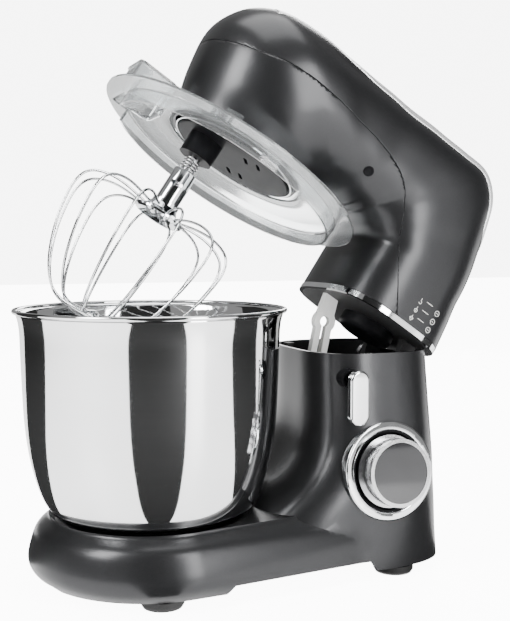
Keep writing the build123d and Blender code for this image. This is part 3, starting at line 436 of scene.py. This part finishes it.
def densified(points, step):
    """The same run of points with more of them along its straight parts."""
    out = []
    for (ar, az), (br, bz) in zip(points, points[1:]):
        count = max(1, round(math.hypot(br - ar, bz - az) / step))
        out += [(ar + (br - ar) * k / count, az + (bz - az) * k / count) for k in range(count)]
    return out + [points[-1]]


def lathe(profile, around):
    """A closed (radius, height) profile turned about the vertical axis."""
    verts = []
    faces = []
    for r, z in profile:
        for k in range(around):
            u = 2 * math.pi * k / around
            verts.append((r * MM * math.cos(u), r * MM * math.sin(u), z * MM))
    count = len(profile)
    for i in range(count):
        j = (i + 1) % count
        for k in range(around):
            n = (k + 1) % around
            faces.append((i * around + k, i * around + n, j * around + n, j * around + k))
    return verts, faces


fine = densified(BOWL_PROFILE, BOWL_STEP)
radii = softened([r for r, z in fine], BOWL_SOFTENING)
heights = softened([z for r, z in fine], BOWL_SOFTENING)
outer = list(zip(radii, heights))[1:]
inner = []
for i, (r, z) in enumerate(outer):
    before, after = outer[max(i - 1, 0)], outer[min(i + 1, len(outer) - 1)]
    dr, dz = after[0] - before[0], after[1] - before[1]
    size = math.hypot(dr, dz)
    inner.append((max(r - BOWL_WALL * dz / size, 0.5), z + BOWL_WALL * dr / size))
bowl_verts, bowl_faces = lathe(outer + inner[::-1], BOWL_AROUND)
bead_turns = [2 * math.pi * k / BEAD_AROUND for k in range(BEAD_AROUND)]
bead = [(BEAD_SPOT[0] + BEAD_R * math.cos(u), BEAD_SPOT[1] + BEAD_R * math.sin(u)) for u in bead_turns]
bead_verts, bead_faces = lathe(bead, BOWL_AROUND)
bowl_faces += [tuple(len(bowl_verts) + i for i in f) for f in bead_faces]
bowl_skin = add_mesh("bowl_skin", bowl_verts + bead_verts, bowl_faces, MATERIALS["bowl_steel"],
                     "bowl")
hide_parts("bowl")

# ---------------------------------------------------------------- side screw caps, in the skin
CAP_SPOT = (83.6, 271.6)
CAP_R = 4.3
CAP_PROFILE = [(0.0, 0.25), (2.0, 0.35), (3.2, 0.6), (3.8, 0.9), (CAP_R, 0.7), (CAP_R + 0.2, -0.6)]
CAP_AROUND = 32
FAR_X = 0.12


def cap_piece(side):
    centre = up(0, *CAP_SPOT)
    hit = SKIN_TREE.ray_cast(Vector((FAR_X * side, centre.y, centre.z)), Vector((-side, 0, 0)))
    spot, normal = hit[0], hit[1].normalized()
    if normal.x * side < 0:
        normal = -normal
    across = normal.cross(Vector((0, 0, 1))).normalized()
    along = normal.cross(across)
    verts = []
    faces = []
    for r, h in CAP_PROFILE:
        for k in range(CAP_AROUND):
            u = 2 * math.pi * k / CAP_AROUND
            outward = across * math.cos(u) + along * math.sin(u)
            verts.append(spot + outward * r * MM + normal * h * MM)
    for i in range(len(CAP_PROFILE) - 1):
        here, there = i * CAP_AROUND, (i + 1) * CAP_AROUND
        for k in range(CAP_AROUND):
            n = (k + 1) % CAP_AROUND
            faces.append((here + k, there + k, there + n, here + n))
    return verts, faces


cap_verts, cap_faces = cap_piece(1)
more_verts, more_faces = cap_piece(-1)
cap_faces += [tuple(len(cap_verts) + i for i in f) for f in more_faces]
caps = add_mesh("side_cap_pair", cap_verts + more_verts, cap_faces, MATERIALS["dark_plastic"],
                "head")
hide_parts("side_caps")

# ---------------------------------------------------------------- printed icons on the neck
ICON_SIZE = 5.2
BAR_SIZE = 7.0
ICON_LINE = 0.55
ICON_LIFT = 0.00012


def icon_strokes(kind):
    """Open polylines in a unit square, the plain symbols of the tools and speeds."""
    turns = [2 * math.pi * k / 16 for k in range(17)]
    ring = [(0.5 + 0.45 * math.cos(u), 0.5 + 0.45 * math.sin(u)) for u in turns]
    if kind == "whisk":
        loop = [(0.5, 0.65), (0.2, 0.4), (0.3, 0.08), (0.5, 0.0), (0.7, 0.08), (0.8, 0.4), (0.5, 0.65)]
        return [[(0.5, 1.0), (0.5, 0.65)], loop, [(0.5, 0.65), (0.5, 0.0)]]
    if kind == "hook":
        return [[(0.5, 1.0), (0.5, 0.55), (0.75, 0.4), (0.7, 0.1), (0.4, 0.02), (0.25, 0.2)]]
    if kind == "beater":
        blade = [(0.5, 1.0), (0.5, 0.7), (0.85, 0.45), (0.5, 0.0), (0.15, 0.45), (0.5, 0.7)]
        return [blade, [(0.2, 0.4), (0.8, 0.4)]]
    if kind == "ring":
        return [ring, [(0.3, 0.5), (0.7, 0.5)]]
    return [[(0.0, 0.5), (1.0, 0.5)]]


def stroke_mesh(points, width):
    """A flat ribbon along a polyline, laid on the near side of the skin."""
    verts = []
    faces = []
    lifted = []
    for y, z in points:
        p = up(0, y, z)
        hit = SKIN_TREE.ray_cast(Vector((FAR_X, p.y, p.z)), Vector((-1, 0, 0)))
        if hit[0] is None:
            return [], []
        lifted.append(hit[0] + hit[1].normalized() * ICON_LIFT)
    for i, p in enumerate(lifted):
        a = lifted[max(i - 1, 0)]
        b = lifted[min(i + 1, len(lifted) - 1)]
        along = (b - a).normalized()
        side = along.cross(Vector((1, 0, 0))).normalized() * width * MM / 2
        verts += [p - side, p + side]
        if i:
            n = len(verts)
            faces.append((n - 4, n - 3, n - 1, n - 2))
    return verts, faces


ICONS = [("whisk", 183, 203), ("hook", 183, 211), ("beater", 183, 195),
         ("bar", 192, 213.5), ("bar", 192, 205.5), ("bar", 192, 197.5),
         ("ring", 203, 211), ("ring", 203, 203), ("ring", 203, 195)]
icon_verts = []
icon_faces = []
for kind, y0, z0 in ICONS:
    size = BAR_SIZE if kind == "bar" else ICON_SIZE
    tall = 0.1 if kind == "bar" else size
    for stroke in icon_strokes(kind):
        fine = []
        for (ay, az), (by, bz) in zip(stroke, stroke[1:]):
            for k in range(3):
                fine.append((ay + (by - ay) * k / 3, az + (bz - az) * k / 3))
        fine.append(stroke[-1])
        points = [(y0 + (u - 0.5) * size, z0 + (v - 0.5) * tall) for u, v in fine]
        verts, faces = stroke_mesh(points, ICON_LINE)
        base = len(icon_verts)
        icon_verts += verts
        icon_faces += [tuple(base + i for i in f) for f in faces]
if icon_verts:
    add_mesh("neck_icons", icon_verts, icon_faces, ICON_INK, "head", smooth=False)

# ---------------------------------------------------------------- floor, lights and camera
FLOOR_REACH = 6.0
FLOOR_GLOW = 1.6
WORLD_GLOW = 0.3
BACKDROP = 9.0
floor_corners = [(sx * FLOOR_REACH, sy * FLOOR_REACH, 0) for sx, sy in ((-1, -1), (1, -1), (1, 1), (-1, 1))]
floor_mesh = bpy.data.meshes.new("floor")
floor_mesh.from_pydata(floor_corners, [], [(0, 1, 2, 3)])
floor = bpy.data.objects.new("floor", floor_mesh)
bpy.context.scene.collection.objects.link(floor)
floor_material = finish("floor_pale", (0.9, 0.9, 0.9), 0.0, 0.45, grain=3, spread=0.01,
                        rough_spread=0.03)
glow = floor_material.node_tree.nodes["Principled BSDF"]
glow.inputs["Emission Color"].default_value = (1.0, 1.0, 1.0, 1.0)
glow.inputs["Emission Strength"].default_value = FLOOR_GLOW
floor_tree = floor_material.node_tree
floor_seen = floor_tree.nodes.new("ShaderNodeEmission")
floor_seen.inputs["Strength"].default_value = BACKDROP
floor_path = floor_tree.nodes.new("ShaderNodeLightPath")
floor_blend = floor_tree.nodes.new("ShaderNodeMixShader")
floor_add = floor_tree.nodes.new("ShaderNodeAddShader")
floor_tree.links.new(glow.outputs["BSDF"], floor_add.inputs[0])
floor_tree.links.new(floor_seen.outputs["Emission"], floor_add.inputs[1])
floor_tree.links.new(floor_path.outputs["Is Camera Ray"], floor_blend.inputs["Fac"])
floor_tree.links.new(glow.outputs["BSDF"], floor_blend.inputs[1])
floor_tree.links.new(floor_add.outputs["Shader"], floor_blend.inputs[2])
floor_surface = floor_tree.nodes["Material Output"].inputs["Surface"]
floor_tree.links.new(floor_blend.outputs["Shader"], floor_surface)
floor_mesh.materials.append(floor_material)

world = bpy.data.worlds.new("studio")
bpy.context.scene.world = world
world.use_nodes = True
sky = world.node_tree
lit = sky.nodes["Background"]
lit.inputs["Color"].default_value = (1.0, 1.0, 1.0, 1.0)
lit.inputs["Strength"].default_value = WORLD_GLOW
seen = sky.nodes.new("ShaderNodeBackground")
seen.inputs["Strength"].default_value = BACKDROP
path = sky.nodes.new("ShaderNodeLightPath")
blend = sky.nodes.new("ShaderNodeMixShader")
sky.links.new(path.outputs["Is Camera Ray"], blend.inputs["Fac"])
sky.links.new(lit.outputs["Background"], blend.inputs[1])
sky.links.new(seen.outputs["Background"], blend.inputs[2])
sky.links.new(blend.outputs["Shader"], sky.nodes["World Output"].inputs["Surface"])


def area(name, place, target, size_x, size_y, power):
    light = bpy.data.lights.new(name, "AREA")
    light.shape = "RECTANGLE"
    light.size = size_x
    light.size_y = size_y
    light.energy = power
    obj = bpy.data.objects.new(name, light)
    obj.location = place
    obj.rotation_euler = (Vector(target) - Vector(place)).to_track_quat("-Z", "Y").to_euler()
    bpy.context.scene.collection.objects.link(obj)
    return obj


area("key", (0.5, -1.4, 1.3), (0, 0, 0.2), 0.6, 0.9, 40)
area("side", (1.5, 0.6, 0.7), (0, 0.1, 0.25), 0.4, 1.2, 26)
area("top", (0.0, 0.2, 1.7), (0, 0.1, 0.2), 1.2, 1.0, 18)
area("back", (-1.3, 0.9, 0.9), (0, 0.1, 0.25), 0.6, 1.2, 14)

CARD_BLACK = finish("card_black", (0.004, 0.004, 0.004), 0.0, 0.9, grain=2, spread=0.1)
FLAG_NEAR = 0.1
FLAG_FAR = 2.2
FLAG_TOP = 1.9
FLAG_LIFT = 0.002


def dark_flag(name, start, end, taper):
    """An unseen dark card, along the floor and then up, that polished metal mirrors.

    The angles are from +X, in degrees, and taper draws the near end in.
    """
    corners = []
    middle = (start + end) / 2
    for angle in (start, end):
        near = math.radians(middle + (angle - middle) * taper)
        far = math.radians(angle)
        corners.append((Vector((math.cos(near), math.sin(near), 0)) * FLAG_NEAR,
                        Vector((math.cos(far), math.sin(far), 0)) * FLAG_FAR))
    (near_a, far_a), (near_b, far_b) = corners
    lift = Vector((0, 0, FLAG_LIFT))
    top = Vector((0, 0, FLAG_TOP))
    mesh = bpy.data.meshes.new(name)
    points = [near_a + lift, near_b + lift, far_b + lift, far_a + lift, far_b + top, far_a + top]
    mesh.from_pydata(points, [], [(0, 1, 2, 3), (3, 2, 4, 5)])
    mesh.materials.append(CARD_BLACK)
    obj = bpy.data.objects.new(name, mesh)
    bpy.context.scene.collection.objects.link(obj)
    obj.visible_camera = False
    obj.visible_diffuse = False
    obj.visible_shadow = False
    obj.visible_transmission = False
    return obj


FLAGS = [(-156, -116, 1.0), (-36, 13, 0.3), (54, 84, 0.8), (112, 160, 1.0)]
for k, (start, end, taper) in enumerate(FLAGS):
    dark_flag("flag_%d" % k, start, end, taper)

AZIMUTH = math.radians(67.34)
PITCH = math.radians(3.81)
CAMERA_PLACE = (0.7704, -0.2305, 0.2707)
LENS = 57.4
SENSOR_HEIGHT = 36.0
right = Vector((math.cos(AZIMUTH), math.sin(AZIMUTH), 0))
forward = Vector((-math.sin(AZIMUTH) * math.cos(PITCH), math.cos(AZIMUTH) * math.cos(PITCH),
                  -math.sin(PITCH)))
upward = right.cross(forward)
camera_data = bpy.data.cameras.new("camera")
camera_data.sensor_fit = "VERTICAL"
camera_data.sensor_height = SENSOR_HEIGHT
camera_data.lens = LENS
camera = bpy.data.objects.new("camera", camera_data)
camera.matrix_world = Matrix((
    (right.x, upward.x, -forward.x, CAMERA_PLACE[0]),
    (right.y, upward.y, -forward.y, CAMERA_PLACE[1]),
    (right.z, upward.z, -forward.z, CAMERA_PLACE[2]),
    (0, 0, 0, 1)))
bpy.context.scene.collection.objects.link(camera)
bpy.context.scene.camera = camera

bpy.context.view_layer.update()
